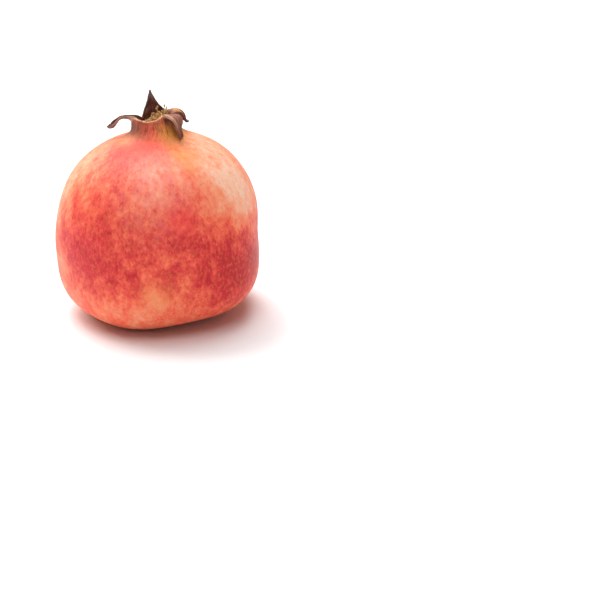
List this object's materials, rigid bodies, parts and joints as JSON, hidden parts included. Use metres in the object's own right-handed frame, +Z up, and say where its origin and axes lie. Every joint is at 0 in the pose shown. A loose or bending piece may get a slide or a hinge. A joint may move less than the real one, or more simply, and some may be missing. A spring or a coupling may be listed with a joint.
{
  "type": "pomegranate",
  "caption": "Whole pomegranate: a round leathery fruit that rests on a small flat spot, with a short neck and dried, curled sepals round a tuft of dried stamens.",
  "frame": {"origin": "under the middle of the bounding box, on the plane that the fruit rests on", "axes": "+Z up through the crown, +X towards the two folded sepals, the torn front of the rim faces -Y"},
  "size_m": [0.0906, 0.092, 0.0986],
  "materials": {
    "rind": "smooth, slightly waxy leathery rind, mottled coral red to peach",
    "dried_stamens": "dry, matt, golden brown"
  },
  "bodies": {
    "root": {"fruit": "rind", "stamens": "dried_stamens"}
  },
  "joints": []
}
